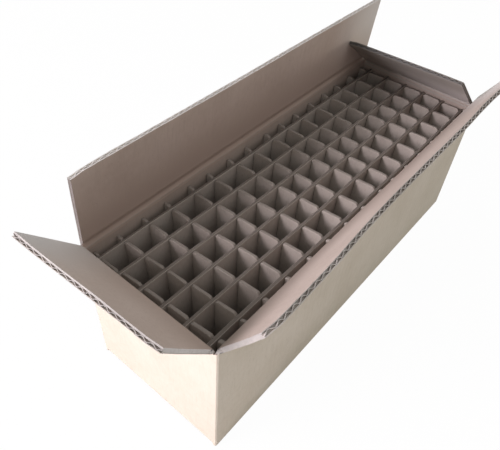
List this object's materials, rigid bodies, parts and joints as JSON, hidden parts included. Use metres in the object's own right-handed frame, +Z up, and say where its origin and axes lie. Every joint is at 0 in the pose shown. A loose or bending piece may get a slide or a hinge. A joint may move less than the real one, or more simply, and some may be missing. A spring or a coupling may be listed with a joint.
{
  "type": "bottle shipping box",
  "caption": "Long slotted corrugated carton with hinged top flaps around an interlocked card divider grid whose open cells keep upright bottles apart.",
  "frame": {"origin": "centre of the base, on the surface the carton stands on", "axes": "+X along the carton's length to the end whose flap leans in, +Y to the back long wall, +Z up"},
  "size_m": [0.4852, 0.188, 0.232],
  "materials": {
    "kraft_board": "matt unprinted kraft liner, corrugated",
    "divider_card": "matt grey-brown recycled card"
  },
  "bodies": {
    "carton": {"carton_body": "kraft_board", "long_divider_1": "divider_card", "long_divider_2": "divider_card", "long_divider_3": "divider_card", "long_divider_4": "divider_card", "long_divider_5": "divider_card", "long_divider_6": "divider_card", "cross_divider_1": "divider_card", "cross_divider_2": "divider_card", "cross_divider_3": "divider_card", "cross_divider_4": "divider_card", "cross_divider_5": "divider_card", "cross_divider_6": "divider_card", "cross_divider_7": "divider_card", "cross_divider_8": "divider_card", "cross_divider_9": "divider_card", "cross_divider_10": "divider_card", "cross_divider_11": "divider_card", "cross_divider_12": "divider_card", "cross_divider_13": "divider_card", "cross_divider_14": "divider_card", "cross_divider_15": "divider_card", "cross_divider_16": "divider_card"},
    "front_flap": {"front_flap": "kraft_board"},
    "back_flap": {"back_flap": "kraft_board"},
    "near_end_flap": {"near_end_flap": "kraft_board"},
    "far_end_flap": {"far_end_flap": "kraft_board"}
  },
  "joints": [
    {"name": "front_flap_hinge", "type": "hinge", "parent": "carton", "child": "front_flap", "pos_m": [0, -0.075, 0.157], "axis": [1, 0, 0], "range_deg": [-33.6, 147.6]},
    {"name": "back_flap_hinge", "type": "hinge", "parent": "carton", "child": "back_flap", "pos_m": [0, 0.075, 0.157], "axis": [-1, 0, 0], "range_deg": [-1.2, 180]},
    {"name": "near_end_flap_hinge", "type": "hinge", "parent": "carton", "child": "near_end_flap", "pos_m": [-0.218, 0, 0.153], "axis": [0, -1, 0], "range_deg": [-131, 137]},
    {"name": "far_end_flap_hinge", "type": "hinge", "parent": "carton", "child": "far_end_flap", "pos_m": [0.218, 0, 0.153], "axis": [0, 1, 0], "range_deg": [-39.4, 228.6]}
  ]
}
